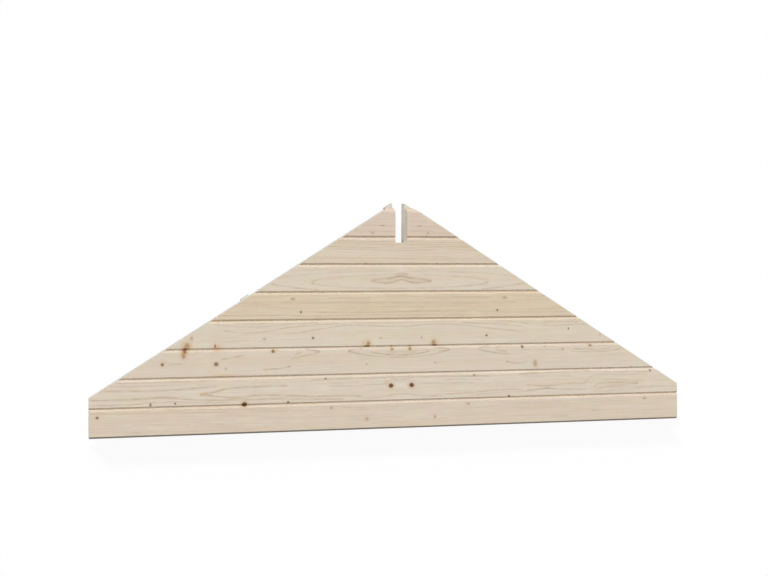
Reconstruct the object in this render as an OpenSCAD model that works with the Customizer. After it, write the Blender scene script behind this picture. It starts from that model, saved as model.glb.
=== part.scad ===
// Boarded timber gable triangle for a small garden house: courses of tongue-and-groove wall boards cut to
// the roof pitch, a slot at the peak for the ridge purlin, and upright battens on the back.
// The panel lies face up on its battens: X runs along the boards, Y up the gable, Z out of the face.

/* [Gable] */
// Overall width along the bottom board
panel_w = 2125; // [1500:5:3000]
// Height of the upright ends, from the bottom edge to the roof line
end_h = 131; // [100:1:180]
// Rise of the roof lines' meeting point above the top course's cover line
peak_rise = 38; // [30:1:60]

/* [Boards] */
// Cover height of one course, from joint to joint
cover_h = 95; // [80:1:140]
// Thickness of a board
board_t = 45; // [40:1:70]
// Height and depth of the sloping edge under a board's face
chamfer = 6.5; // [3:0.5:8]
// Open gap in the V-joint between two boards
joint_gap = 0.3; // [0.2:0.1:1]
// Height by which the lip under a board laps over the board below
lip_rise = 3.5; // [2:0.5:6]
// Chamfer along the back edges
back_chamfer = 2; // [1:0.5:4]
// Width of the tongue at its root
tongue_w = 13; // [10:0.5:16]
// Height of the tongue above its shoulders
tongue_h = 7; // [5:0.5:10]
// Narrowing of each side of the tongue towards its tip
tongue_taper = 1; // [0.5:0.5:2]
// Room for the tongue on each side of its groove and above its tip
groove_gap = 0.6; // [0.3:0.1:1]

/* [Ridge slot] */
// Width of the slot for the ridge purlin
slot_w = 43; // [30:1:70]
// Depth of the slot's notch in the course below the top one
slot_bite = 17; // [10:1:40]

/* [Battens] */
// Width of a batten along the boards
batten_w = 24; // [18:1:45]
// Thickness of a batten behind the boards
batten_t = 35; // [22:1:50]
// Distance from the gable's centre line to the middle of a quarter batten
quarter_x = 541.5; // [400:0.5:650]
// Height by which a batten stands above the roof line
batten_proud = 2.5; // [1:0.5:6]
// Height of a batten's foot above the bottom edge
foot_y = 25; // [15:1:60]
// Eased edge along a batten's back
batten_ease = 1.5; // [0.5:0.5:3]

/* [Hidden] */

// Courses from the bottom edge to the peak
courses = 8;
// How far cutting shapes run past the solid that they cut
overrun = 20;

peak_y = courses * cover_h + peak_rise;
pitch_slope = (peak_y - end_h) / (panel_w / 2);
slot_floor_y = (courses - 1) * cover_h - slot_bite;
tip_y = peak_y + batten_proud - pitch_slope * slot_w / 2;
bevel_drop = chamfer + joint_gap;
bevel_run = bevel_drop + lip_rise;
tongue_z = (board_t - bevel_run) / 2;
ridge_x = slot_w / 2 + batten_w / 2;

sapwood = [0.85, 0.78, 0.69];
heartwood = [0.84, 0.75, 0.64];
batten_wood = [0.83, 0.78, 0.70];

// Lays a section drawn in [Y, Z] along X, centred on the gable
module along_boards(length) {
    translate([-length / 2, 0, 0])
        rotate([90, 0, 90])
            linear_extrude(length)
                children();
}

// Lays a section drawn in [X, Z] along Y, from the gable's bottom edge
module up_gable(length) {
    translate([0, length, 0])
        rotate([90, 0, 0])
            linear_extrude(length)
                children();
}

// Gable's outline as a prism through the whole panel, from a foot line to its roof lines raised
module gable_prism(foot, raise) {
    translate([0, 0, -overrun])
        linear_extrude(batten_t + board_t + 2 * overrun)
            polygon([
                [-panel_w / 2, foot],
                [panel_w / 2, foot],
                [panel_w / 2, end_h + raise],
                [0, peak_y + raise],
                [-panel_w / 2, end_h + raise]
            ]);
}

// Section of a wall board, Y up from the tip of its lip and Z out from its back: a chamfered face over a lip
// that laps the bevel of the board below, a tapered tongue on its upper edge and a groove in its lower one
module board_section() {
    shoulder_y = cover_h + lip_rise;
    tongue_back = tongue_z - tongue_w / 2;
    tongue_front = tongue_z + tongue_w / 2;
    groove_top = lip_rise + tongue_h + groove_gap;
    polygon([
        [0, board_t - chamfer],
        [chamfer, board_t],
        [cover_h - bevel_drop, board_t],
        [shoulder_y, board_t - bevel_run],
        [shoulder_y, tongue_front],
        [shoulder_y + tongue_h, tongue_front - tongue_taper],
        [shoulder_y + tongue_h, tongue_back + tongue_taper],
        [shoulder_y, tongue_back],
        [shoulder_y, back_chamfer],
        [shoulder_y - back_chamfer, 0],
        [lip_rise + back_chamfer, 0],
        [lip_rise, back_chamfer],
        [lip_rise, tongue_back - groove_gap],
        [groove_top, tongue_back + tongue_taper - groove_gap],
        [groove_top, tongue_front - tongue_taper + groove_gap],
        [lip_rise, tongue_front + groove_gap],
        [lip_rise, board_t - chamfer - lip_rise]
    ]);
}

// Section of a batten, X about its middle and Z up from its back face, which has eased edges
module batten_section() {
    polygon([
        [-batten_w / 2, batten_ease],
        [-batten_w / 2 + batten_ease, 0],
        [batten_w / 2 - batten_ease, 0],
        [batten_w / 2, batten_ease],
        [batten_w / 2, batten_t],
        [-batten_w / 2, batten_t]
    ]);
}

// Clear space for the ridge purlin, open at the peak
module ridge_slot() {
    translate([-slot_w / 2, slot_floor_y, -overrun])
        cube([slot_w, peak_y - slot_floor_y + overrun, batten_t + board_t + 2 * overrun]);
}

// Everything to the right of the gable's centre line
module right_half() {
    translate([0, -overrun, -overrun])
        cube([panel_w, peak_y + 2 * overrun, batten_t + board_t + 2 * overrun]);
}

// One course of the gable, counted from the bottom, cut to the roof lines and round the ridge slot
module board(course) {
    color(course % 2 == 0 ? heartwood : sapwood)
        difference() {
            intersection() {
                translate([0, (course - 1) * cover_h, batten_t])
                    along_boards(panel_w)
                        board_section();
                gable_prism(-overrun, 0);
            }
            ridge_slot();
        }
}

// Half of the top course, which the ridge slot parts in two
module top_board_right() {
    intersection() {
        board(courses);
        color(heartwood) right_half();
    }
}

module top_board_left() {
    mirror([1, 0, 0]) top_board_right();
}

// An upright batten on the back, its middle at X, its top cut along the roof line and just proud of it
module batten(middle_x) {
    color(batten_wood)
        intersection() {
            translate([middle_x, 0, 0])
                up_gable(peak_y + batten_proud)
                    batten_section();
            gable_prism(foot_y, batten_proud);
        }
}

// Batten beside the ridge slot, flush with its wall; side is -1 for left and 1 for right
module ridge_batten(side) {
    batten(side * ridge_x);
}

// Batten about half way along a roof line
module quarter_batten(side) {
    batten(side * quarter_x);
}

// Puts the middle of the panel's height on the origin
module placed() {
    translate([0, -tip_y / 2, 0]) children();
}

placed() board(1);  // board_1
placed() board(2);  // board_2
placed() board(3);  // board_3
placed() board(4);  // board_4
placed() board(5);  // board_5
placed() board(6);  // board_6
placed() board(7);  // board_7
placed() top_board_left();
placed() top_board_right();
placed() ridge_batten(-1);  // ridge_batten_left
placed() ridge_batten(1);  // ridge_batten_right
placed() quarter_batten(-1);  // quarter_batten_left
placed() quarter_batten(1);  // quarter_batten_right
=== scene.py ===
"""Looks, light and camera of a boarded timber gable triangle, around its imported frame.

Lengths are in metres, except where a comment says millimetres.
"""

import math
from collections import namedtuple

import bmesh
import bpy
from mathutils import Matrix, Vector


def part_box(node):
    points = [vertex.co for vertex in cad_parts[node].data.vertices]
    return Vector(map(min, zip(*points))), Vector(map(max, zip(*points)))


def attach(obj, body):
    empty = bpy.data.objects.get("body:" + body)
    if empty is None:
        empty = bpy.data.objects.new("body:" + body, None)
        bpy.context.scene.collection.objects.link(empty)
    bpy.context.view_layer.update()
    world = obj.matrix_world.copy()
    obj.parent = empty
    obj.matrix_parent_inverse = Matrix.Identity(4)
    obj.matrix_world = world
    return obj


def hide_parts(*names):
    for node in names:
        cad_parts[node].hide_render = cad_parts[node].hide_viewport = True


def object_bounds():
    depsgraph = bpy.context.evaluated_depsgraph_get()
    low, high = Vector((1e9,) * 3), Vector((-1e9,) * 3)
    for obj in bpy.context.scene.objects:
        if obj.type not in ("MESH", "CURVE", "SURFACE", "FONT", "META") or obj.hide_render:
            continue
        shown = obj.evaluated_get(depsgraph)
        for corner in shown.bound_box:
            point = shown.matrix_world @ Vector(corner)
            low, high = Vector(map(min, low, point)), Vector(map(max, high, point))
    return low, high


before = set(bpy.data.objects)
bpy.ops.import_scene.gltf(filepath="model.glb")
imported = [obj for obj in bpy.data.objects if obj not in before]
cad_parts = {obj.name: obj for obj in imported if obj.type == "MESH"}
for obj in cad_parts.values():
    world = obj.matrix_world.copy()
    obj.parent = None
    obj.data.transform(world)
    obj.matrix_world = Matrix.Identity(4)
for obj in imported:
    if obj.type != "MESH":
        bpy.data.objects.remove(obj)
cad_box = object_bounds()

MM = 0.001
QUARTER_TURN = math.radians(90)
WHITE = (1, 1, 1, 1)

# Boards from the bottom course to the top one, which the ridge slot parts in two
COURSES = ["board_%d" % course for course in range(1, 8)]
TOP_PIECES = ["top_board_left", "top_board_right"]
BATTENS = ["ridge_batten_left", "ridge_batten_right", "quarter_batten_left", "quarter_batten_right"]

BOTTOM_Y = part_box("board_1")[0].y
FACE_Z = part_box("board_1")[1].z
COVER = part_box("board_2")[0].y - BOTTOM_Y

# Axes that the grain of a board and of a batten runs along, and how far a face turns towards its axis before
# it counts as a sawn end
BOARD_AXIS = 0
BATTEN_AXIS = 1
END_SHARE = 0.3

# Softened arrises along planed edges, and the least angle between two faces that makes one
ARRIS = 0.25 * MM
ARRIS_SEGMENTS = 2
ARRIS_PROFILE = 0.5
ARRIS_ANGLE = math.radians(20)
# Before that, corners nearer than this become one, and so do faces that turn less than this
WELD = 0.01 * MM
FLAT_ANGLE = math.radians(0.5)

# Countersunk screws through the battens' backs, one for each course that a batten crosses
SCREW_HEAD_R = 4.2 * MM
SCREW_SHANK_R = 2.0 * MM
SCREW_SINK = 0.4 * MM
SCREW_DEEP = 3.0 * MM
SCREW_SINK_GAP = 0.3 * MM
SCREW_SEGMENTS = 32
RECESS_LONG = 4.6 * MM
RECESS_WIDE = 1.1 * MM
RECESS_DEEP = 1.4 * MM
CUT_OVERRUN = 1.0 * MM

# Camera of the photograph: its place from the gable's centre line, bottom edge and face, and its lens
PHOTO_W = 768
PHOTO_H = 576
FOCAL_PX = 1248.9
HORIZON_PX = 262.6
SENSOR_MM = 36.0
CAMERA_RIGHT = -1.1865
CAMERA_UP = 0.5783
CAMERA_OUT = 4.1954
CAMERA_YAW = math.radians(14.99)

# Light: a soft key from the upper left in front of the face, a surround that is brighter from the ridge's
# side, a black card below the bottom edge and a weak fill in the ridge slot
KEY_FROM = Vector((-0.42, 0.47, 0.777))
KEY_STRENGTH = 2.9
KEY_SPREAD = math.radians(12)
SURROUND = 0.28
SURROUND_GRADE = 0.8
FLAG_AWAY = 0.03
FLAG_OVER = 0.05
FLAG_PAINT = (0.02, 0.02, 0.02, 1)
SLOT_FILL_POWER = 0.006
SLOT_FILL_WIDE = 0.02
SLOT_FILL_AWAY = 0.2 * MM

# Floor: its size, the share of its white that is its own where it is seen, and its paint seen and unseen
FLOOR_HALF = 8.0
FLOOR_DROP = 0.2 * MM
FLOOR_WHITE_SHARE = 0.95
FLOOR_SEEN_PAINT = (0.96, 0.96, 0.96, 1)
FLOOR_PAINT = (0.28, 0.28, 0.28, 1)


def linear(red, green, blue):
    """Linear light of a colour given as screen values from 0 to 255, by the sRGB curve."""
    def one(value):
        value /= 255
        return value / 12.92 if value <= 0.04045 else ((value + 0.055) / 1.055) ** 2.4
    return (one(red), one(green), one(blue), 1.0)


# How a knot looks: its core, the stain round it, how strongly each covers the wood, and how soft its
# outline is
KnotKind = namedtuple("KnotKind", "core core_share halo halo_share soft")
KNOT_KINDS = {
    "dark": KnotKind(linear(84, 56, 28), 0.93, linear(196, 152, 116), 0.55, 0.40),
    "brown": KnotKind(linear(124, 102, 73), 0.88, linear(200, 168, 134), 0.42, 0.45),
    "grey": KnotKind(linear(134, 115, 90), 0.92, linear(204, 186, 160), 0.25, 0.45),
    "resin": KnotKind(linear(132, 94, 58), 0.85, linear(203, 166, 124), 0.60, 0.75),
    "amber": KnotKind(linear(152, 121, 87), 0.80, linear(205, 175, 139), 0.50, 0.70),
    "umber": KnotKind(linear(118, 90, 58), 0.80, linear(204, 176, 140), 0.40, 0.60),
    "rust": KnotKind(linear(206, 160, 116), 0.45, linear(211, 182, 146), 0.28, 0.90),
    "pale": KnotKind(linear(162, 139, 113), 0.60, linear(206, 187, 162), 0.30, 0.65),
    "glow": KnotKind(linear(208, 176, 138), 0.42, linear(212, 189, 158), 0.24, 0.90),
    "stain": KnotKind(linear(205, 176, 144), 0.55, linear(212, 190, 162), 0.25, 0.85),
    "faint": KnotKind(linear(206, 186, 160), 0.45, linear(212, 198, 176), 0.15, 0.90),
    # "light" is no knot but a painted highlight: a pale pinkish patch where the face catches the light
    "light": KnotKind(linear(226, 212, 200), 0.50, linear(222, 208, 194), 0.25, 0.90),
}
# Kinds that only colour the wood, so that the grain runs straight on through them: stains, and "light",
# which is a painted highlight
FLAT_KINDS = ("rust", "glow", "stain", "faint", "light")

# A knot: distance right of the gable's centre line, height above its board's lip, half length and half
# height, all in millimetres, and its kind
Knot = namedtuple("Knot", "x v along across kind")

# A line of late wood: its half thickness in millimetres, how strongly it shows, and its course as distances
# right of the gable's centre line and heights above its board's lip in millimetres
Line = namedtuple("Line", "thick share course")

# A board's wood: its tone, how strongly its fine grain shows, the pith's height above the lip and depth
# behind the face, the ring width, a seed, its knots, its lines of late wood, and the lines that show on both
# sides of the centre line
Wood = namedtuple("Wood", "tone grain pith_v pith_depth ring seed knots lines twin_lines", defaults=((), ()))

WOODS = {
    "board_1": Wood(
        tone=linear(213, 199, 181), grain=1.0, pith_v=-70 * MM, pith_depth=70 * MM, ring=4.6 * MM,
        seed=1.3,
        knots=[
            Knot(-1036, 69, 5, 5, "brown"), Knot(-124, 37, 7, 8, "pale"), Knot(-129, 42, 6, 8, "glow"),
            Knot(122, 37, 6, 8, "pale"), Knot(-250, 79, 7, 6, "pale"), Knot(246, 79, 8, 5, "pale"),
            Knot(930, 79, 8, 5, "pale"), Knot(726, 40, 6, 2, "pale"), Knot(-551, 97, 9, 6, "dark"),
        ],
        lines=[
            Line(1.8, 0.26, [(-1062, 82), (-900, 79), (-700, 77), (-550, 74), (-400, 72)]),
            Line(1.8, 0.34, [(-820, 89), (-650, 86), (-550, 83), (-420, 81)]),
            Line(2.2, 0.26, [(-930, 41), (-860, 40), (-800, 38), (-730, 37)]),
            Line(2.0, 0.21, [(-710, 41), (-660, 38), (-615, 34)]),
            Line(2.2, 0.21, [(-1062, 20), (-900, 17), (-700, 15)]),
            Line(2.0, 0.17, [(-510, 55), (-300, 50), (-100, 48)]),
            Line(1.6, 0.21, [(-330, 85), (-150, 83), (0, 84), (150, 86)]),
            Line(1.6, 0.26, [(-220, 79), (0, 77), (160, 80)]),
            Line(1.6, 0.21, [(-190, 71), (-80, 70), (60, 70), (110, 72)]),
            Line(1.8, 0.26, [(-70, 41), (-30, 41), (10, 40)]),
            Line(1.6, 0.30, [(360, 79), (430, 76), (530, 76), (640, 74)]),
            Line(1.6, 0.30, [(430, 70), (500, 69), (600, 68), (670, 68)]),
            Line(1.6, 0.21, [(420, 61), (520, 60), (640, 60)]),
            Line(2.4, 0.30, [(550, 25), (590, 24), (630, 24)]),
            Line(1.8, 0.21, [(690, 42), (720, 42), (765, 40)]),
            Line(1.8, 0.17, [(660, 76), (760, 74), (900, 74)]),
        ],
    ),
    "board_2": Wood(
        tone=linear(215, 203, 186), grain=0.9, pith_v=38 * MM, pith_depth=90 * MM, ring=3.6 * MM,
        seed=2.7,
        knots=[
            Knot(-551, 4, 10, 9, "dark"), Knot(-401, 7, 5, 5, "grey"), Knot(399, 7, 6, 5, "grey"),
            Knot(-864, 12, 4, 7, "grey"), Knot(-783, 14, 4, 4, "grey"), Knot(-271, 85, 5, 3, "grey"),
            Knot(268, 85, 5, 3, "grey"), Knot(952, 86, 4, 5, "grey"), Knot(-38, 55, 9, 8, "dark"),
            Knot(37, 55, 9, 8, "dark"), Knot(-55, 65, 9, 8, "stain"), Knot(-690, 43, 16, 5, "stain"),
            Knot(800, 37, 70, 8, "faint"),
        ],
        lines=[
            Line(3.0, 0.45, [(-1062, 61), (-1000, 60), (-920, 58), (-850, 57), (-780, 59), (-720, 63),
                             (-640, 68)]),
            Line(3.0, 0.49, [(-1062, 31), (-940, 31), (-870, 34), (-830, 35), (-790, 32), (-740, 26),
                             (-690, 23), (-600, 21), (-540, 21), (-400, 19), (-300, 15), (-200, 13)]),
            Line(3.8, 0.25, [(-890, 35), (-850, 36), (-800, 34), (-770, 31)]),
            Line(2.5, 0.37, [(-1062, 16), (-900, 15), (-865, 20), (-830, 17), (-790, 20), (-740, 17),
                             (-600, 14)]),
            Line(3.0, 0.53, [(-704, 41), (-660, 48), (-620, 56), (-580, 61), (-520, 63), (-400, 64)]),
            Line(3.0, 0.53, [(-704, 41), (-660, 36), (-620, 31), (-580, 28), (-550, 29), (-520, 33),
                             (-420, 31), (-300, 25), (-200, 24), (-140, 20)]),
            Line(4.2, 0.37, [(-706, 41), (-680, 44), (-650, 50), (-618, 57)]),
            Line(3.8, 0.33, [(-706, 41), (-680, 40), (-650, 36)]),
            Line(2.5, 0.37, [(-1000, 75), (-860, 75), (-740, 78)]),
            Line(2.8, 0.49, [(-980, 85), (-860, 86), (-750, 87), (-640, 89)]),
            Line(2.8, 0.41, [(90, 15), (180, 20), (260, 24), (340, 28), (400, 31), (460, 28)]),
            Line(2.8, 0.33, [(240, 14), (340, 19), (400, 22), (475, 21)]),
            Line(3.0, 0.53, [(430, 84), (520, 86), (600, 88), (720, 89)]),
            Line(2.5, 0.29, [(440, 76), (540, 75), (650, 74)]),
            Line(3.0, 0.49, [(462, 45), (500, 42), (550, 40), (600, 45), (640, 46), (700, 44)]),
            Line(3.8, 0.49, [(462, 24), (500, 27), (530, 31), (560, 32)]),
            Line(2.8, 0.41, [(520, 33), (560, 29), (640, 25), (705, 24)]),
            Line(4.5, 0.25, [(686, 50), (700, 55), (724, 72)]),
            Line(3.0, 0.41, [(684, 50), (704, 48), (728, 50)]),
            Line(4.0, 0.41, [(732, 36), (742, 40), (770, 44), (810, 46), (860, 45), (908, 40)]),
            Line(4.0, 0.41, [(732, 27), (742, 25), (770, 28), (820, 32), (870, 37), (908, 40)]),
            Line(6.2, 0.45, [(726, 22), (731, 31), (738, 40)]),
            Line(2.8, 0.33, [(712, 34), (722, 22), (740, 15), (800, 17), (870, 21), (940, 25), (1062, 27)]),
            Line(2.5, 0.29, [(710, 70), (760, 74), (850, 73), (950, 74)]),
            Line(2.5, 0.33, [(755, 54), (810, 57), (880, 52), (930, 50)]),
            Line(2.5, 0.33, [(715, 86), (850, 83), (950, 82)]),
        ],
        twin_lines=[
            Line(2.5, 0.51, [(-20, 86), (0, 85), (20, 86), (44, 90)]),
            Line(3.0, 0.34, [(-20, 77), (0, 74), (20, 77), (42, 84), (62, 89)]),
            Line(2.8, 0.31, [(-40, 21), (-20, 24), (0, 25), (20, 24), (50, 19), (90, 15), (150, 14)]),
            Line(2.5, 0.33, [(50, 60), (110, 60), (170, 58), (270, 60)]),
            Line(2.8, 0.45, [(50, 84), (150, 83), (240, 82), (330, 80)]),
            Line(2.5, 0.29, [(150, 71), (220, 70), (310, 68)]),
        ],
    ),
    "board_3": Wood(
        tone=linear(213, 200, 182), grain=0.6, pith_v=150 * MM, pith_depth=60 * MM, ring=4.4 * MM,
        seed=3.9,
        knots=[
            Knot(-825, 49, 6, 6, "brown"), Knot(-646, 47, 8, 7, "brown"), Knot(-722, 82, 24, 7, "faint"),
            Knot(-755, 79, 9, 14, "amber"), Knot(-751, 92, 8, 10, "resin"),
            Knot(-645, 93, 14, 7, "rust"), Knot(-440, 91, 8, 6, "glow"), Knot(-453, 87, 6, 6, "brown"),
            Knot(450, 87, 6, 6, "grey"), Knot(535, 87, 4, 3, "pale"), Knot(-34, 87, 6, 6, "amber"),
            Knot(31, 87, 7, 7, "amber"), Knot(713, 88, 7, 6, "amber"), Knot(506, 22, 8, 13, "stain"),
            Knot(499, 27, 8, 15, "pale"), Knot(-614, 31, 5, 4, "pale"), Knot(-126, 36, 5, 3, "pale"),
            Knot(124, 36, 5, 3, "pale"), Knot(-620, 6, 50, 9, "stain"), Knot(605, 76, 6, 4, "pale"),
            Knot(-398, 34, 6, 3, "pale"), Knot(393, 35, 5, 3, "pale"), Knot(805, 38, 5, 5, "faint"),
        ],
        lines=[
            Line(2.2, 0.60, [(-490, 25), (-450, 27), (-425, 29), (-390, 35)]),
            Line(2.2, 0.45, [(-634, 58), (-615, 65), (-590, 69), (-550, 76)]),
            Line(3.0, 0.35, [(-585, 70), (-565, 72), (-545, 76)]),
            Line(2.4, 0.55, [(-394, 59), (-370, 65), (-330, 73), (-286, 82)]),
            Line(2.4, 0.55, [(-345, 92), (-310, 87), (-286, 82)]),
            Line(3.0, 0.55, [(-382, 75), (-366, 78), (-352, 84)]),
            Line(2.2, 0.45, [(-194, 83), (-165, 76), (-120, 67), (-70, 61), (0, 58), (70, 61), (115, 67),
                             (155, 76), (180, 82)]),
            Line(3.2, 0.45, [(-196, 83), (-172, 78), (-148, 73)]),
            Line(3.2, 0.45, [(-196, 83), (-170, 88), (-135, 91)]),
            Line(3.2, 0.45, [(125, 91), (158, 87), (182, 82)]),
            Line(3.2, 0.40, [(130, 71), (156, 76), (182, 82)]),
            Line(2.2, 0.65, [(-116, 79), (-70, 71), (0, 66), (65, 70), (106, 79)]),
            Line(6.0, 0.20, [(-60, 76), (0, 74), (60, 76)]),
            Line(2.4, 0.60, [(279, 83), (305, 75), (350, 67), (405, 63)]),
            Line(2.4, 0.50, [(279, 84), (300, 88), (330, 92)]),
            Line(2.8, 0.50, [(344, 84), (352, 79), (372, 74), (395, 71)]),
            Line(2.6, 0.45, [(344, 84), (356, 88), (374, 90)]),
            Line(2.2, 0.50, [(640, 75), (690, 74), (740, 71), (770, 74), (800, 80)]),
            Line(2.0, 0.40, [(635, 67), (700, 64), (760, 65), (800, 68), (840, 75)]),
            Line(1.8, 0.35, [(440, 77), (520, 75), (620, 71)]),
            Line(2.8, 0.40, [(382, 37), (410, 31), (470, 29)]),
            Line(2.2, 0.40, [(-815, 49), (-790, 50), (-755, 49)]),
        ],
    ),
    "board_4": Wood(
        tone=linear(214, 202, 183), grain=0.6, pith_v=30 * MM, pith_depth=110 * MM, ring=4.0 * MM,
        seed=5.1,
        knots=[
            Knot(-736, 16, 14, 14, "glow"), Knot(-744, 12, 11, 15, "amber"),
            Knot(-750, 3, 9, 9, "resin"), Knot(-643, 10, 16, 12, "rust"), Knot(-650, 12, 3, 7, "brown"),
            Knot(-728, 40, 6, 8, "pale"), Knot(-726, 29, 3, 8, "faint"), Knot(-315, 35, 5, 5, "grey"),
            Knot(314, 35, 5, 5, "grey"), Knot(-482, 34, 6, 5, "pale"), Knot(-138, 15, 10, 10, "glow"),
            Knot(-119, 11, 9, 12, "amber"), Knot(-124, 4, 11, 5, "umber"), Knot(130, 15, 9, 9, "glow"),
            Knot(117, 12, 9, 12, "amber"), Knot(121, 4, 10, 5, "umber"), Knot(628, 55, 3, 5, "grey"),
            Knot(-75, 31, 4, 4, "pale"), Knot(73, 31, 4, 4, "pale"), Knot(-35, 2, 4, 4, "pale"),
            Knot(30, 2, 4, 4, "pale"), Knot(752, 32, 4, 4, "pale"),
        ],
        lines=[
            Line(2.2, 0.38, [(-660, 87), (-600, 79), (-540, 75), (-480, 76), (-430, 80), (-380, 84),
                             (-290, 87)]),
            Line(3.0, 0.23, [(-590, 87), (-520, 86), (-430, 88)]),
            Line(2.2, 0.42, [(-625, 64), (-570, 57), (-540, 55), (-480, 59), (-440, 65), (-400, 72),
                             (-350, 77), (-300, 80), (-220, 83)]),
            Line(2.4, 0.42, [(-430, 52), (-380, 53), (-340, 58), (-300, 64), (-250, 71), (-200, 76),
                             (-150, 76), (-100, 74), (-30, 71), (30, 72), (100, 77), (160, 77),
                             (220, 73), (280, 66), (340, 58), (400, 53), (455, 43)]),
            Line(2.0, 0.30, [(-190, 87), (-100, 86), (0, 84), (100, 87), (210, 88)]),
            Line(2.2, 0.38, [(220, 82), (320, 76), (380, 73), (455, 64)]),
            Line(2.2, 0.34, [(340, 86), (420, 82), (480, 75)]),
            Line(2.2, 0.38, [(525, 70), (580, 66), (640, 69), (700, 69)]),
            Line(2.2, 0.30, [(525, 80), (600, 81), (670, 79)]),
            Line(1.8, 0.30, [(-715, 30), (-620, 29), (-530, 30)]),
        ],
    ),
    "board_5": Wood(
        tone=linear(214, 198, 175), grain=1.2, pith_v=170 * MM, pith_depth=55 * MM, ring=4.8 * MM,
        seed=6.4,
        knots=[
            Knot(-357, 29, 4, 5, "grey"), Knot(355, 29, 4, 5, "grey"), Knot(-385, 74, 11, 6, "pale"),
            Knot(383, 74, 11, 6, "pale"), Knot(575, 22, 36, 6, "faint"),
        ],
        lines=[
            Line(2.4, 0.36, [(-300, 26), (-200, 27), (-60, 26), (60, 28), (250, 27)]),
            Line(2.2, 0.32, [(-640, 20), (-420, 19), (-300, 15), (-100, 17), (100, 17), (270, 14)]),
            Line(2.4, 0.32, [(-270, 76), (-200, 75), (-110, 77)]),
            Line(4.5, 0.24, [(-580, 60), (-400, 62), (-250, 61), (-120, 60), (60, 57), (260, 59),
                             (430, 58)]),
            Line(2.4, 0.20, [(-620, 50), (-540, 52), (-460, 54)]),
            Line(2.2, 0.32, [(80, 74), (200, 76), (340, 75)]),
            Line(2.2, 0.24, [(-60, 82), (0, 82), (70, 79)]),
            Line(2.2, 0.28, [(270, 24), (420, 22), (620, 20)]),
            Line(2.4, 0.28, [(460, 78), (500, 77), (545, 78)]),
            Line(2.4, 0.28, [(460, 66), (500, 66), (560, 66)]),
            Line(2.6, 0.32, [(470, 30), (560, 31), (630, 30)]),
            Line(2.2, 0.20, [(-240, 46), (-60, 44), (120, 45), (330, 43)]),
        ],
    ),
    "board_6": Wood(
        tone=linear(215, 203, 185), grain=0.5, pith_v=35 * MM, pith_depth=90 * MM, ring=4.2 * MM,
        seed=7.8,
        knots=[
            # The "light" mark at the top of the lens is no knot but a painted highlight
            Knot(-54, 42, 50, 8, "faint"), Knot(54, 42, 50, 8, "faint"), Knot(0, 78, 24, 8, "light"),
        ],
        twin_lines=[
            Line(3.6, 0.62, [(-30, 50), (-12, 54), (0, 57), (12, 54), (30, 50), (60, 48), (88, 44),
                             (114, 40)]),
            Line(3.6, 0.62, [(-30, 36), (-14, 41), (0, 45), (14, 41), (30, 36), (55, 33), (85, 35),
                             (114, 40)]),
            Line(4.0, 0.50, [(-30, 51), (-14, 54), (0, 57), (14, 54), (30, 51), (56, 49)]),
            Line(4.0, 0.50, [(-30, 36), (-14, 41), (0, 45), (14, 41), (30, 36), (52, 34)]),
            Line(4.0, 0.42, [(-12, 64), (0, 66), (12, 64), (28, 61)]),
            Line(2.6, 0.22, [(-30, 62), (0, 64), (30, 62), (66, 60)]),
            Line(3.0, 0.28, [(50, 61), (120, 59), (200, 55), (260, 50), (300, 44), (324, 36)]),
            Line(3.0, 0.34, [(-60, 14), (0, 14), (100, 15), (200, 18), (260, 23), (300, 28), (324, 36)]),
            Line(6.6, 0.20, [(308, 28), (320, 36), (328, 44)]),
            Line(2.8, 0.24, [(170, 70), (300, 66), (380, 59), (430, 52), (480, 42)]),
            Line(3.0, 0.42, [(290, 8), (345, 14), (400, 21), (455, 30), (485, 38)]),
            Line(2.5, 0.18, [(-40, 74), (0, 74), (150, 73), (270, 71)]),
            Line(2.5, 0.14, [(60, 80), (200, 81), (360, 80)]),
        ],
    ),
    "board_7": Wood(
        tone=linear(214, 200, 181), grain=1.1, pith_v=-60 * MM, pith_depth=60 * MM, ring=4.6 * MM,
        seed=9.2,
        knots=[
            Knot(-130, 6, 4, 2, "pale"), Knot(130, 6, 4, 2, "pale"),
        ],
        lines=[
            Line(2.0, 0.32, [(-260, 83), (-120, 82), (-20, 82)]),
            Line(2.0, 0.32, [(20, 82), (150, 79), (250, 80)]),
            Line(2.0, 0.29, [(-270, 74), (-140, 73), (-20, 71)]),
            Line(2.0, 0.29, [(5, 72), (130, 72), (260, 70)]),
            Line(2.2, 0.36, [(-290, 65), (-180, 62), (-90, 61), (-20, 65)]),
            Line(2.2, 0.32, [(0, 60), (60, 60), (120, 63), (280, 61)]),
            Line(2.2, 0.22, [(-300, 55), (-150, 54), (0, 50), (150, 54), (310, 52)]),
            Line(2.0, 0.18, [(-340, 22), (-100, 24), (100, 21), (340, 23)]),
        ],
    ),
    "top_board": Wood(
        tone=linear(213, 196, 179), grain=0.9, pith_v=160 * MM, pith_depth=60 * MM, ring=4.4 * MM,
        seed=10.6,
        knots=[
            Knot(-68, 42, 11, 3, "pale"), Knot(65, 42, 11, 3, "pale"), Knot(-104, 17, 5, 4, "pale"),
            Knot(97, 17, 4, 5, "pale"), Knot(92, 6, 3, 3, "pale"),
        ],
        lines=[
            Line(2.0, 0.30, [(-160, 42), (-110, 42), (-60, 42), (-25, 41)]),
            Line(2.0, 0.30, [(25, 42), (60, 42), (150, 40)]),
            Line(2.0, 0.25, [(-180, 24), (-60, 22), (-25, 22)]),
            Line(2.0, 0.25, [(25, 22), (60, 23), (110, 24)]),
            Line(2.0, 0.25, [(25, 60), (60, 61), (100, 60)]),
            Line(2.4, 0.35, [(-120, 22), (-104, 17), (-92, 6)]),
        ],
    ),
}

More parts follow.
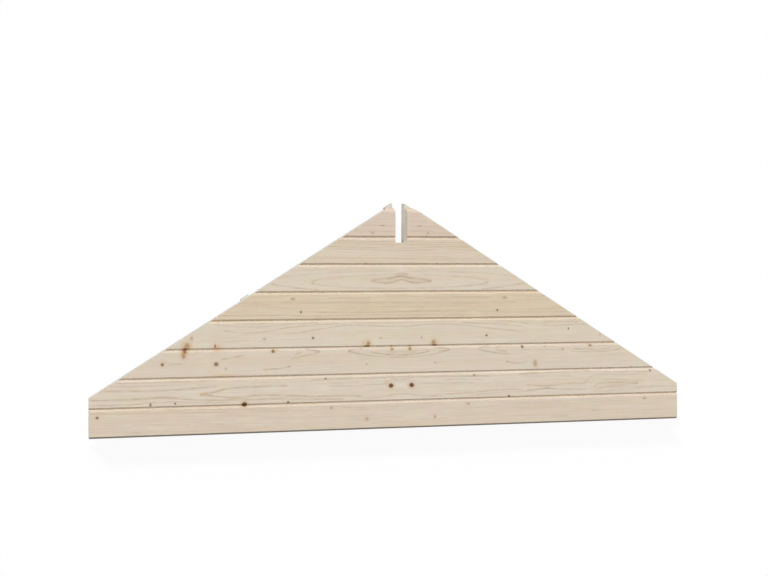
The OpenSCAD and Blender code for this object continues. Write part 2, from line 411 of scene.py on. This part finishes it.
# Shifts of a tone, channel by channel, towards early wood, late wood, dark streaks, brown streaks, warm
# bands, pale streaks and lines of late wood
EARLY_SHARES = (1.03, 1.03, 1.04)
LATE_SHARES = (0.86, 0.81, 0.74)
STREAK_SHARES = (0.90, 0.86, 0.80)
BROWN_SHARES = (0.92, 0.86, 0.78)
WARM_SHARES = (1.00, 0.97, 0.92)
PALE_SHARES = (1.09, 1.10, 1.12)
LINE_SHARES = (0.61, 0.52, 0.40)
END_TONE = linear(221, 214, 204)
BATTEN_TONE = linear(211, 207, 197)

# A layer of grain: how fast its noise changes along X, Y and Z, the noise's detail and offset, the two
# values of the noise between which the layer comes in, how strongly it covers, and its shift of the tone
Layer = namedtuple("Layer", "stretch detail offset low high cover shares")
BOARD_BANDS = Layer((0.9, 34, 20), 1.0, (0, 11, 0), 0.35, 0.70, 0.80, WARM_SHARES)
BOARD_STREAKS = Layer((4.5, 190, 100), 2.0, (0, 7, 0), 0.42, 0.72, 0.65, STREAK_SHARES)
BOARD_FINE = Layer((14, 420, 210), 2.0, (0, 3, 0), 0.45, 0.75, 0.55, STREAK_SHARES)
BOARD_PALE = Layer((7, 260, 130), 2.0, (0, 17, 0), 0.52, 0.74, 0.80, PALE_SHARES)
END_PORES = Layer((500, 900, 900), 2.0, (0, 0, 0), 0.40, 0.80, 0.40, STREAK_SHARES)
BATTEN_STREAKS = Layer((160, 1.6, 160), 2.0, (3, 0, 0), 0.35, 0.75, 0.50, BROWN_SHARES)
BATTEN_FIBRE = Layer((900, 14, 900), 2.0, (0, 0, 0), 0.45, 0.75, 0.35, STREAK_SHARES)

# Other noise: how much detail it has where it is fine and where it is smooth, and its middle value
FINE_DETAIL = 2.0
SMOOTH_DETAIL = 1.0
NOISE_MIDDLE = 0.5

# How far a board's hue drifts from place to place
HUE_DRIFT = 0.10
HUE_STRETCH = (18, 24, 20)
HUE_ROW = 23

# Painted shade on the bottom board's bare lip: it is painted greyer and darker than its face, up to the edge
# of the face, as the shade from below falls on it
LIP_SHADE_SHARES = (0.76, 0.78, 0.80)
LIP_SHADE_HIGH = 6.5 * MM
LIP_SHADE_FULL_SHARE = 0.7

# Rings: where in a ring's width late wood starts and where it is darkest, how a pith wanders along its
# board, and how strongly rings show on a sawn end
LATE_START_SHARE = 0.35
LATE_PEAK_SHARE = 0.90
PITH_WANDER = 20 * MM
PITH_STRETCH = (1.4, 5, 5)
END_RING_SHARE = 0.4

# Rings of a batten: their width, how they lean along it, and how unevenly they show
BATTEN_RING = 3.4 * MM
LEAN = 20 * MM
LEAN_STRETCH = (3, 1.5, 3)
UNEVEN_STRETCH = (110, 1.2, 110)
UNEVEN_OFFSET = (9, 0, 0)
UNEVEN_LIMITS = (0.3, 0.7)
UNEVEN_SHARES = (0.15, 0.8)

# Relief: its height and strength in every wood, saw marks, and the shares in it of streaks and fine grain,
# of saw marks and pores, and of rings and fibre
RELIEF_HIGH = 0.3 * MM
RELIEF_STRENGTH = 0.2
SAW_STRETCH = (20, 20, 420)
BOARD_RELIEF_SHARES = (0.4, 0.6)
END_RELIEF_SHARES = (0.7, 0.4)
BATTEN_RELIEF_SHARES = (0.25, -0.5)

# Gloss: the level of reflection, and each wood's roughness where its finest noise is low and where it
# is high
GLOSS_LEVEL = 0.3
ROUGH_LIMITS = (0.2, 0.8)
BOARD_ROUGH = (0.54, 0.68)
END_ROUGH = (0.66, 0.82)
BATTEN_ROUGH = (0.55, 0.70)

# Zinc-plated steel of the screws
SCREW_TONE = linear(198, 196, 190)
SCREW_DULL_SHARES = (0.85, 0.86, 0.90)
SCREW_STRETCH = (900, 900, 900)
SCREW_ROUGH_LIMITS = (0.3, 0.7)
SCREW_ROUGH = (0.30, 0.48)

# How far round a knot the grain bends, in half sizes of the knot, and how hard
FLOW_REACH_SHARES = (3.6, 2.4)
FLOW_STRENGTH = 0.85
# A knot's ragged outline, the edge of its core and the reach of its stain, in half sizes of the knot
RAGGED_STRETCH = (330, 330, 40)
RAGGED_SHARE = 0.5
CORE_EDGE_SHARE = 1.1
HALO_FULL_SHARE = 0.4
HALO_REACH_SHARE = 2.6
# Dark rim of a knot: where it comes in, the softness of outline that has none, its strength and its colour
RIM_SHARES = (0.55, 0.9)
RIM_SOFT_LIMIT = 0.8
RIM_STRENGTH = 0.8
RIM_DARK_SHARE = 0.7
RIM_DARK = (0.02, 0.012, 0.008, 1)

# Lines of late wood: how far one fades at each end, the largest share of its length that does, how it is
# broken along its course, and the height in millimetres that a 1 on its curve stands for
LINE_FADE = 10 * MM
LINE_FADE_SHARE = 0.4
BROKEN_STRETCH = (28, 120, 120)
BROKEN_LIMITS = (0.3, 0.7)
BROKEN_SHARES = (0.45, 1.25)
CURVE_HIGH = 100


def tinted(colour, shares):
    """A colour with each channel scaled by its share."""
    return tuple(channel * share for channel, share in zip(colour, shares)) + (1.0,)


class Graph:
    """Short calls that lay out shader nodes.

    A value is a number, a vector, a colour or another node's output.
    """

    def __init__(self, tree):
        self.tree = tree

    def put(self, value, socket):
        if isinstance(value, bpy.types.NodeSocket):
            self.tree.links.new(value, socket)
        else:
            socket.default_value = value

    def add(self, kind, inputs, **settings):
        node = self.tree.nodes.new(kind)
        for key, value in settings.items():
            setattr(node, key, value)
        for key, value in inputs.items():
            self.put(value, node.inputs[key])
        return node

    def place(self):
        return self.add("ShaderNodeTexCoord", {}).outputs["Object"]

    def math(self, operation, first, second=0.0):
        return self.add("ShaderNodeMath", {0: first, 1: second}, operation=operation).outputs[0]

    def vector(self, operation, first, second=(0, 0, 0)):
        node = self.add("ShaderNodeVectorMath", {0: first, 1: second}, operation=operation)
        return node.outputs["Value" if operation == "LENGTH" else "Vector"]

    def scaled(self, vector, factor):
        node = self.add("ShaderNodeVectorMath", {0: vector, "Scale": factor}, operation="SCALE")
        return node.outputs["Vector"]

    def split(self, vector):
        return self.add("ShaderNodeSeparateXYZ", {0: vector}).outputs

    def join(self, x, y, z):
        return self.add("ShaderNodeCombineXYZ", {0: x, 1: y, 2: z}).outputs[0]

    def noise(self, vector, stretch, detail, offset=(0, 0, 0), output="Fac"):
        place = self.vector("ADD", self.vector("MULTIPLY", vector, stretch), offset)
        inputs = {"Vector": place, "Scale": 1.0, "Detail": detail}
        return self.add("ShaderNodeTexNoise", inputs).outputs[output]

    def bell(self, value):
        """A value that is 1 at 0 and falls off smoothly on both sides."""
        return self.math("EXPONENT", self.math("MULTIPLY", self.math("MULTIPLY", value, value), -1.0))

    def weighted(self, first, second, shares):
        """Sum of two values, each times its share."""
        parts = [self.math("MULTIPLY", value, share) for value, share in zip((first, second), shares)]
        return self.math("ADD", *parts)

    def curve(self, value, points):
        """A smooth curve through points, the first at 0 and the last at 1."""
        node = self.add("ShaderNodeFloatCurve", {"Value": value})
        curve = node.mapping.curves[0]
        curve.points[0].location = points[0]
        curve.points[-1].location = points[-1]
        for point in points[1:-1]:
            curve.points.new(*point)
        node.mapping.update()
        return node.outputs[0]

    def ramp(self, value, low, high, from_value=0.0, to_value=1.0):
        """Smooth step of a value between two limits."""
        inputs = {
            "Value": value, "From Min": low, "From Max": high, "To Min": from_value, "To Max": to_value,
        }
        return self.add("ShaderNodeMapRange", inputs, interpolation_type="SMOOTHSTEP").outputs["Result"]

    def mix(self, share, first, second, blend="MIX"):
        """Mix of two colours; 6, 7 and 2 are the node's colour sockets."""
        inputs = {0: share, 6: first, 7: second}
        return self.add("ShaderNodeMix", inputs, data_type="RGBA", blend_type=blend).outputs[2]


def new_group(name, inputs, outputs):
    """A shader node group with its sockets, its graph, and the outputs and inputs that its nodes use."""
    tree = bpy.data.node_groups.new(name, "ShaderNodeTree")
    for label, kind in inputs:
        tree.interface.new_socket(label, in_out="INPUT", socket_type=kind)
    for label, kind in outputs:
        tree.interface.new_socket(label, in_out="OUTPUT", socket_type=kind)
    source = tree.nodes.new("NodeGroupInput").outputs
    target = tree.nodes.new("NodeGroupOutput").inputs
    return tree, Graph(tree), source, target


def off_knot(g, source):
    """The way from a knot's middle to a place, and how far that is as a share of its reach."""
    away = g.vector("SUBTRACT", source["Place"], source["Centre"])
    return away, g.vector("LENGTH", g.vector("MULTIPLY", away, source["Reach"]))


def knot_flow_group():
    """Bends the grain round a knot: places near it are drawn towards its middle across the board."""
    tree, g, source, target = new_group(
        "knot_flow",
        [("Place", "NodeSocketVector"), ("Centre", "NodeSocketVector"), ("Reach", "NodeSocketVector")],
        [("Place", "NodeSocketVector")],
    )
    away, distance = off_knot(g, source)
    pull = g.scaled(g.vector("MULTIPLY", away, (0, FLOW_STRENGTH, 0)), g.bell(distance))
    g.put(g.vector("SUBTRACT", source["Place"], pull), target["Place"])
    return tree


def knot_mark_group():
    """Paints a knot on the wood: a stained halo, a ragged core, and a dark rim if its outline is crisp."""
    tree, g, source, target = new_group(
        "knot_mark",
        [("Colour", "NodeSocketColor"), ("Place", "NodeSocketVector"), ("Centre", "NodeSocketVector"),
         ("Reach", "NodeSocketVector"), ("Core", "NodeSocketColor"), ("Core share", "NodeSocketFloat"),
         ("Halo", "NodeSocketColor"), ("Halo share", "NodeSocketFloat"), ("Soft", "NodeSocketFloat")],
        [("Colour", "NodeSocketColor")],
    )
    distance = off_knot(g, source)[1]
    ragged = g.math("SUBTRACT", g.noise(source["Place"], RAGGED_STRETCH, FINE_DETAIL), NOISE_MIDDLE)
    edge = g.math("ADD", distance, g.math("MULTIPLY", ragged, RAGGED_SHARE))
    halo = g.math("MULTIPLY", g.ramp(edge, HALO_REACH_SHARE, HALO_FULL_SHARE), source["Halo share"])
    core = g.ramp(edge, CORE_EDGE_SHARE, g.math("SUBTRACT", CORE_EDGE_SHARE, source["Soft"]))
    stained = g.mix(halo, source["Colour"], source["Halo"])
    filled = g.mix(g.math("MULTIPLY", core, source["Core share"]), stained, source["Core"])
    crisp = g.math("MULTIPLY", g.math("SUBTRACT", RIM_SOFT_LIMIT, source["Soft"]), RIM_STRENGTH)
    rim = g.math("MULTIPLY", g.math("MULTIPLY", core, g.ramp(edge, *RIM_SHARES)), crisp)
    g.put(g.mix(rim, filled, g.mix(RIM_DARK_SHARE, source["Core"], RIM_DARK)), target["Colour"])
    return tree


def grain_line_group():
    """Darkens a line of late wood: strongest on its course, fading at its ends and a little broken."""
    tree, g, source, target = new_group(
        "grain_line",
        [("Colour", "NodeSocketColor"), ("Place", "NodeSocketVector"), ("Off line", "NodeSocketFloat"),
         ("Along", "NodeSocketFloat"), ("Fade", "NodeSocketFloat"), ("Thick", "NodeSocketFloat"),
         ("Share", "NodeSocketFloat"), ("Tint", "NodeSocketColor")],
        [("Colour", "NodeSocketColor")],
    )
    fall = g.bell(g.math("DIVIDE", source["Off line"], source["Thick"]))
    ends = g.math("MULTIPLY", g.ramp(source["Along"], 0.0, source["Fade"]),
                  g.ramp(g.math("SUBTRACT", 1.0, source["Along"]), 0.0, source["Fade"]))
    broken = g.ramp(g.noise(source["Place"], BROKEN_STRETCH, FINE_DETAIL), *BROKEN_LIMITS, *BROKEN_SHARES)
    amount = g.math("MULTIPLY", g.math("MULTIPLY", fall, ends), g.math("MULTIPLY", broken, source["Share"]))
    g.put(g.mix(amount, source["Colour"], source["Tint"]), target["Colour"])
    return tree


KNOT_FLOW = knot_flow_group()
KNOT_MARK = knot_mark_group()
GRAIN_LINE = grain_line_group()


def with_knot_flow(g, place, knots):
    """Grain places, bent round every knot of a board that has a core."""
    for knot in knots:
        if knot.kind in FLAT_KINDS:
            continue
        along = knot.along * MM * FLOW_REACH_SHARES[0]
        across = knot.across * MM * FLOW_REACH_SHARES[1]
        values = {
            "Place": place, "Centre": (knot.x * MM, knot.v * MM, 0), "Reach": (1 / along, 1 / across, 0),
        }
        place = g.add("ShaderNodeGroup", values, node_tree=KNOT_FLOW).outputs["Place"]
    return place


def with_knot_marks(g, colour, place, knots):
    """The wood's colour with every knot of a board painted on it."""
    for knot in knots:
        kind = KNOT_KINDS[knot.kind]
        values = {
            "Colour": colour, "Place": place, "Centre": (knot.x * MM, knot.v * MM, 0),
            "Reach": (1 / (knot.along * MM), 1 / (knot.across * MM), 0), "Soft": kind.soft,
            "Core": kind.core, "Core share": kind.core_share,
            "Halo": kind.halo, "Halo share": kind.halo_share,
        }
        colour = g.add("ShaderNodeGroup", values, node_tree=KNOT_MARK).outputs["Colour"]
    return colour


def with_grain_lines(g, colour, place, lines, x, v, tint):
    """The wood's colour with lines of late wood drawn along their courses."""
    for line in lines:
        first = line.course[0][0]
        length = line.course[-1][0] - first
        along = g.math("DIVIDE", g.math("SUBTRACT", x, first * MM), length * MM)
        course = [((at - first) / length, height / CURVE_HIGH) for at, height in line.course]
        height = g.math("MULTIPLY", g.curve(along, course), CURVE_HIGH * MM)
        values = {
            "Colour": colour, "Place": place, "Off line": g.math("SUBTRACT", v, height), "Along": along,
            "Fade": min(LINE_FADE / (length * MM), LINE_FADE_SHARE), "Thick": line.thick * MM,
            "Share": line.share, "Tint": tint,
        }
        colour = g.add("ShaderNodeGroup", values, node_tree=GRAIN_LINE).outputs["Colour"]
    return colour


def layer_noise(g, place, layer, seed=0.0):
    """The noise that a layer of grain is read from."""
    x, y, z = layer.offset
    return g.noise(place, layer.stretch, layer.detail, (x + seed, y, z))


def with_layer(g, colour, noise, layer, tone, strength=1.0):
    """A colour with a layer of grain over it."""
    amount = g.ramp(noise, layer.low, layer.high, 0.0, layer.cover * strength)
    return g.mix(amount, colour, tinted(tone, layer.shares))


def with_hue_drift(g, colour, place, seed):
    """A colour whose channels drift a little from place to place."""
    hue = g.noise(place, HUE_STRETCH, SMOOTH_DETAIL, (seed, HUE_ROW, 0), "Color")
    drift = g.scaled(g.vector("SUBTRACT", hue, (NOISE_MIDDLE,) * 3), HUE_DRIFT)
    return g.mix(1.0, colour, g.vector("ADD", drift, (1, 1, 1)), "MULTIPLY")


def late_wood(g, phase):
    """Late-wood share at a distance counted in rings: it rises across a ring and ends after its peak."""
    turn = g.math("FRACT", phase)
    rise = g.ramp(turn, LATE_START_SHARE, LATE_PEAK_SHARE)
    return g.math("MULTIPLY", rise, g.ramp(turn, 1.0, LATE_PEAK_SHARE))


def growth_rings(g, place, wood):
    """Late-wood share at a place: bands at a ring's width round a pith that wanders along the board."""
    _, v, out = g.split(place)
    wander = g.math("SUBTRACT", g.noise(place, PITH_STRETCH, SMOOTH_DETAIL, (wood.seed, 0, 0)), NOISE_MIDDLE)
    across = g.math("ADD", g.math("SUBTRACT", v, wood.pith_v), g.math("MULTIPLY", wander, PITH_WANDER))
    behind = g.math("ADD", out, wood.pith_depth)
    return late_wood(g, g.math("DIVIDE", g.vector("LENGTH", g.join(across, behind, 0.0)), wood.ring))


def ringed(g, rings, tone):
    """A tone between its early and its late wood."""
    return g.mix(rings, tinted(tone, EARLY_SHARES), tinted(tone, LATE_SHARES))


def new_material(name):
    """An empty material with its graph and its surface shader."""
    material = bpy.data.materials.new(name)
    material.use_nodes = True
    tree = material.node_tree
    shader = tree.nodes["Principled BSDF"]
    shader.inputs["Specular IOR Level"].default_value = GLOSS_LEVEL
    return material, Graph(tree), shader


def finish_wood(g, shader, colour, height, roughness):
    """Joins a wood's colour, relief and roughness to its shader."""
    bump = g.add("ShaderNodeBump", {"Height": height, "Strength": RELIEF_STRENGTH, "Distance": RELIEF_HIGH})
    g.put(colour, shader.inputs["Base Color"])
    g.put(bump.outputs["Normal"], shader.inputs["Normal"])
    g.put(roughness, shader.inputs["Roughness"])


def board_place(g, low_y):
    """Place on a board: right of the gable's centre line, up from its lip and out from its face."""
    return g.vector("SUBTRACT", g.place(), (0, low_y, FACE_Z))


def board_material(name, wood, low_y):
    """Planed face of one board: fine grain, streaks, drawn lines of late wood, knots, and painted shade on
    the bottom board's lip.
    """
    material, g, shader = new_material(name)
    local = board_place(g, low_y)
    bent = with_knot_flow(g, local, wood.knots)
    fine = layer_noise(g, bent, BOARD_FINE, wood.seed)
    streak = layer_noise(g, bent, BOARD_STREAKS, wood.seed)
    pale = layer_noise(g, bent, BOARD_PALE, wood.seed)
    band = layer_noise(g, bent, BOARD_BANDS, wood.seed)
    tone = wood.tone
    colour = with_layer(g, tinted(tone, EARLY_SHARES), band, BOARD_BANDS, tone)
    colour = with_layer(g, colour, streak, BOARD_STREAKS, tone, wood.grain)
    colour = with_layer(g, colour, fine, BOARD_FINE, tone, wood.grain)
    colour = with_layer(g, colour, pale, BOARD_PALE, tone)
    colour = with_hue_drift(g, colour, local, wood.seed)
    x, v, _ = g.split(local)
    tint = tinted(tone, LINE_SHARES)
    colour = with_grain_lines(g, colour, local, wood.lines, x, v, tint)
    colour = with_grain_lines(g, colour, local, wood.twin_lines, g.math("ABSOLUTE", x), v, tint)
    colour = with_knot_marks(g, colour, local, wood.knots)
    # On the bottom board, painted shade darkens and greys the lower chamfer up to the edge of its face
    if name == COURSES[0]:
        colour = g.mix(g.ramp(v, LIP_SHADE_HIGH, LIP_SHADE_FULL_SHARE * LIP_SHADE_HIGH), colour, tinted(tone, LIP_SHADE_SHARES))
    height = g.weighted(streak, fine, BOARD_RELIEF_SHARES)
    finish_wood(g, shader, colour, height, g.ramp(fine, *ROUGH_LIMITS, *BOARD_ROUGH))
    return material


def end_grain_material(name, wood, low_y):
    """Sawn end of one board: its rings seen end on, with pores, saw marks and no knots."""
    material, g, shader = new_material(name)
    local = board_place(g, low_y)
    rings = g.math("MULTIPLY", growth_rings(g, local, wood), END_RING_SHARE)
    pores = layer_noise(g, local, END_PORES)
    saw = g.noise(local, SAW_STRETCH, SMOOTH_DETAIL, (wood.seed, 0, 0))
    colour = with_layer(g, ringed(g, rings, END_TONE), pores, END_PORES, END_TONE)
    height = g.weighted(saw, pores, END_RELIEF_SHARES)
    finish_wood(g, shader, colour, height, g.ramp(pores, *ROUGH_LIMITS, *END_ROUGH))
    return material


def batten_material():
    """Planed batten, with straight grain up the gable."""
    material, g, shader = new_material("batten_wood")
    place = g.place()
    fibre = layer_noise(g, place, BATTEN_FIBRE)
    streak = layer_noise(g, place, BATTEN_STREAKS)
    x, _, z = g.split(place)
    lean = g.math("MULTIPLY", g.noise(place, LEAN_STRETCH, SMOOTH_DETAIL), LEAN)
    phase = g.math("DIVIDE", g.math("ADD", g.math("ADD", x, z), lean), BATTEN_RING)
    uneven = g.noise(place, UNEVEN_STRETCH, SMOOTH_DETAIL, UNEVEN_OFFSET)
    rings = g.math("MULTIPLY", late_wood(g, phase), g.ramp(uneven, *UNEVEN_LIMITS, *UNEVEN_SHARES))
    colour = with_layer(g, ringed(g, rings, BATTEN_TONE), streak, BATTEN_STREAKS, BATTEN_TONE)
    colour = with_layer(g, colour, fibre, BATTEN_FIBRE, BATTEN_TONE)
    height = g.weighted(rings, fibre, BATTEN_RELIEF_SHARES)
    finish_wood(g, shader, colour, height, g.ramp(fibre, *ROUGH_LIMITS, *BATTEN_ROUGH))
    return material


def screw_material():
    """Zinc-plated steel with a fine, uneven sheen."""
    material, g, shader = new_material("screw_steel")
    dull = g.noise(g.place(), SCREW_STRETCH, FINE_DETAIL)
    g.put(g.mix(dull, tinted(SCREW_TONE, SCREW_DULL_SHARES), SCREW_TONE), shader.inputs["Base Color"])
    g.put(g.ramp(dull, *SCREW_ROUGH_LIMITS, *SCREW_ROUGH), shader.inputs["Roughness"])
    shader.inputs["Metallic"].default_value = 1.0
    return material


def add_object(name, data):
    """A new object in the scene."""
    item = bpy.data.objects.new(name, data)
    bpy.context.scene.collection.objects.link(item)
    return item


def mesh_from(name, bm):
    """A mesh of what a bmesh holds."""
    mesh = bpy.data.meshes.new(name)
    bm.to_mesh(mesh)
    bm.free()
    return mesh


def eased_mesh(node, grain_axis):
    """A copy of a CAD node's mesh with its planed arrises softened; sawn faces take the second material."""
    bm = bmesh.new()
    bm.from_mesh(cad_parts[node].data)
    bmesh.ops.remove_doubles(bm, verts=bm.verts, dist=WELD)
    bmesh.ops.dissolve_limit(bm, angle_limit=FLAT_ANGLE, verts=bm.verts, edges=bm.edges)
    bm.normal_update()
    sawn = {face for face in bm.faces if abs(face.normal[grain_axis]) > END_SHARE}
    sharp = [
        edge for edge in bm.edges
        if edge.is_manifold and edge.calc_face_angle() > ARRIS_ANGLE and sawn.isdisjoint(edge.link_faces)
    ]
    bmesh.ops.bevel(
        bm, geom=sharp, offset=ARRIS, offset_type="OFFSET", segments=ARRIS_SEGMENTS, profile=ARRIS_PROFILE,
        affect="EDGES", clamp_overlap=True,
    )
    bm.normal_update()
    for face in bm.faces:
        face.material_index = int(abs(face.normal[grain_axis]) > END_SHARE)
    bmesh.ops.triangulate(bm, faces=bm.faces)
    return mesh_from(node + "_wood", bm)


def add_piece(node, mesh, materials):
    """A visual piece that stands for a CAD node."""
    piece = add_object(node + "_wood", mesh)
    for material in materials:
        mesh.materials.append(material)
    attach(piece, "root")
    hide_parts(node)


def add_boards():
    """Every board of the gable, with the wood of its course."""
    for node in COURSES + TOP_PIECES:
        wood_name = "top_board" if node in TOP_PIECES else node
        end_name = wood_name + "_end"
        wood = WOODS[wood_name]
        low_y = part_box(node)[0].y
        materials = [
            bpy.data.materials.get(wood_name) or board_material(wood_name, wood, low_y),
            bpy.data.materials.get(end_name) or end_grain_material(end_name, wood, low_y),
        ]
        add_piece(node, eased_mesh(node, BOARD_AXIS), materials)


def screw_places(node):
    """Places of a batten's screws on its back: mid course, wherever the batten has room for a head."""
    low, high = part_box(node)
    middle = (low.x + high.x) / 2
    heights = [BOTTOM_Y + (course + 0.5) * COVER for course in range(len(COURSES) + 1)]
    room = 2 * SCREW_HEAD_R
    return [Vector((middle, y, low.z)) for y in heights if low.y + room < y < high.y - room]


def cone(bm, place, radius_out, radius_in, start, end):
    """Adds a round plug that goes into a batten from its back, from one depth to another."""
    made = bmesh.ops.create_cone(
        bm, cap_ends=True, segments=SCREW_SEGMENTS, radius1=radius_out, radius2=radius_in, depth=end - start,
    )
    bmesh.ops.translate(bm, verts=made["verts"], vec=place + Vector((0, 0, (start + end) / 2)))


def block(bm, place, size):
    """Adds a box about a place."""
    made = bmesh.ops.create_cube(bm, size=1.0)
    bmesh.ops.scale(bm, verts=made["verts"], vec=size)
    bmesh.ops.translate(bm, verts=made["verts"], vec=place)


def cut(mesh, cutter):
    """A mesh with the space of another taken out of it."""
    held = add_object("held", mesh)
    tool = add_object("tool", cutter)
    change = held.modifiers.new("cut", "BOOLEAN")
    change.operation = "DIFFERENCE"
    change.solver = "EXACT"
    change.object = tool
    bpy.context.view_layer.update()
    result = bpy.data.meshes.new_from_object(held.evaluated_get(bpy.context.evaluated_depsgraph_get()))
    for item in (held, tool):
        bpy.data.objects.remove(item)
    return result


def add_screws(node, material):
    """Countersunk screw heads, each with a cross recess, in the back of one batten."""
    heads = bmesh.new()
    for place in screw_places(node):
        cone(heads, place, SCREW_HEAD_R, SCREW_SHANK_R, SCREW_SINK, SCREW_DEEP)
    mesh = mesh_from("heads", heads)
    for long, wide in ((RECESS_LONG, RECESS_WIDE), (RECESS_WIDE, RECESS_LONG)):
        recesses = bmesh.new()
        for place in screw_places(node):
            middle = place + Vector((0, 0, SCREW_SINK + (RECESS_DEEP - CUT_OVERRUN) / 2))
            block(recesses, middle, (long, wide, RECESS_DEEP + CUT_OVERRUN))
        mesh = cut(mesh, mesh_from("recesses", recesses))
    mesh.materials.clear()
    mesh.materials.append(material)
    screws = add_object(node + "_screws", mesh)
    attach(screws, "root")


def countersunk(node, mesh):
    """A batten's mesh with its screw holes countersunk."""
    holes = bmesh.new()
    slope = (SCREW_HEAD_R - SCREW_SHANK_R) / (SCREW_DEEP - SCREW_SINK)
    mouth = SCREW_HEAD_R + SCREW_SINK_GAP + slope * (SCREW_SINK + CUT_OVERRUN)
    for place in screw_places(node):
        cone(holes, place, mouth, SCREW_SHANK_R + SCREW_SINK_GAP, -CUT_OVERRUN, SCREW_DEEP)
    return cut(mesh, mesh_from("holes", holes))


def add_battens():
    """The upright battens on the back, and their screws."""
    wood = batten_material()
    steel = screw_material()
    for node in BATTENS:
        add_piece(node, countersunk(node, eased_mesh(node, BATTEN_AXIS)), [wood, wood])
        add_screws(node, steel)


def seen_directly(g):
    """1 where the background is seen, straight on or in gloss or glass, and 0 where it only lights."""
    path = g.add("ShaderNodeLightPath", {}).outputs
    seen = g.math("ADD", path["Is Camera Ray"], path["Is Glossy Ray"])
    return g.math("MINIMUM", g.math("ADD", seen, path["Is Transmission Ray"]), 1.0)


def add_sheet(name, corners):
    """A flat sheet between four corners."""
    mesh = bpy.data.meshes.new(name)
    mesh.from_pydata(corners, [], [(0, 1, 2, 3)])
    return add_object(name, mesh)


def add_floor():
    """A plain white floor that keeps a pale shadow of the object."""
    corners = [(-1, -1), (1, -1), (1, 1), (-1, 1)]
    floor = add_sheet("floor", [(x * FLOOR_HALF, y * FLOOR_HALF, -FLOOR_DROP) for x, y in corners])
    material = bpy.data.materials.new("floor_white")
    material.use_nodes = True
    g = Graph(material.node_tree)
    material.node_tree.nodes.remove(material.node_tree.nodes["Principled BSDF"])
    seen = seen_directly(g)
    paint = g.add("ShaderNodeBsdfDiffuse", {"Color": g.mix(seen, FLOOR_PAINT, FLOOR_SEEN_PAINT)}).outputs[0]
    glow = g.add("ShaderNodeEmission", {"Color": WHITE, "Strength": 1.0}).outputs[0]
    share = g.math("MULTIPLY", seen, FLOOR_WHITE_SHARE)
    mixed = g.add("ShaderNodeMixShader", {0: share, 1: paint, 2: glow}).outputs[0]
    g.put(mixed, material.node_tree.nodes["Material Output"].inputs["Surface"])
    floor.data.materials.append(material)


def add_world():
    """A pale surround, brighter from the ridge's side than from the foot's, and white where it is seen."""
    world = bpy.data.worlds.new("surround")
    bpy.context.scene.world = world
    world.use_nodes = True
    g = Graph(world.node_tree)
    background = world.node_tree.nodes["Background"]
    background.inputs["Color"].default_value = WHITE
    toward = g.split(g.add("ShaderNodeTexCoord", {}).outputs["Generated"])
    graded = g.math("ADD", g.math("MULTIPLY", toward["Y"], SURROUND * SURROUND_GRADE), SURROUND)
    strength = g.math("MAXIMUM", seen_directly(g), graded)
    g.put(strength, background.inputs["Strength"])


def add_key_light():
    """A broad, soft key light."""
    light = bpy.data.lights.new("key", "SUN")
    light.energy = KEY_STRENGTH
    light.angle = KEY_SPREAD
    key = add_object("key", light)
    key.rotation_euler = (-KEY_FROM).to_track_quat("-Z", "Y").to_euler()


def add_flag():
    """A black card below the bottom edge, unseen by the camera, that keeps light from below off the edge."""
    low, high = cad_box
    y = low.y - FLAG_AWAY
    top = high.z + FLAG_OVER
    flag = add_sheet("flag", [(low.x, y, 0), (high.x, y, 0), (high.x, y, top), (low.x, y, top)])
    material = bpy.data.materials.new("flag_black")
    material.use_nodes = True
    material.node_tree.nodes["Principled BSDF"].inputs["Base Color"].default_value = FLAG_PAINT
    flag.data.materials.append(material)
    flag.visible_camera = False


def add_slot_fill():
    """A weak light low in the ridge slot, in place of the white that would shine through it from behind."""
    low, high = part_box("ridge_batten_left")
    light = bpy.data.lights.new("slot_fill", "AREA")
    light.energy = SLOT_FILL_POWER
    light.shape = "RECTANGLE"
    light.size = SLOT_FILL_WIDE
    light.size_y = high.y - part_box("top_board_left")[0].y
    fill = add_object("slot_fill", light)
    fill.location = (high.x + SLOT_FILL_AWAY, high.y - light.size_y / 2, low.z + SLOT_FILL_WIDE / 2)
    fill.rotation_euler = (0, -QUARTER_TURN, 0)
    fill.visible_camera = False


def add_camera():
    """The photograph's camera: level with the gable, turned towards its right end."""
    data = bpy.data.cameras.new("camera")
    data.sensor_width = SENSOR_MM
    data.lens = SENSOR_MM * FOCAL_PX / PHOTO_W
    data.shift_y = (HORIZON_PX - PHOTO_H / 2) / PHOTO_W
    camera = add_object("camera", data)
    right = Vector((math.cos(CAMERA_YAW), 0, math.sin(CAMERA_YAW)))
    up = Vector((0, 1, 0))
    turn = Matrix((right, up, right.cross(up))).transposed().to_4x4()
    place = Vector((CAMERA_RIGHT, BOTTOM_Y + CAMERA_UP, FACE_Z + CAMERA_OUT))
    camera.matrix_world = Matrix.Translation(place) @ turn
    bpy.context.scene.camera = camera


bpy.context.scene.view_settings.view_transform = "Standard"
add_camera()
add_key_light()
add_slot_fill()
add_world()
add_floor()
add_flag()
add_boards()
add_battens()
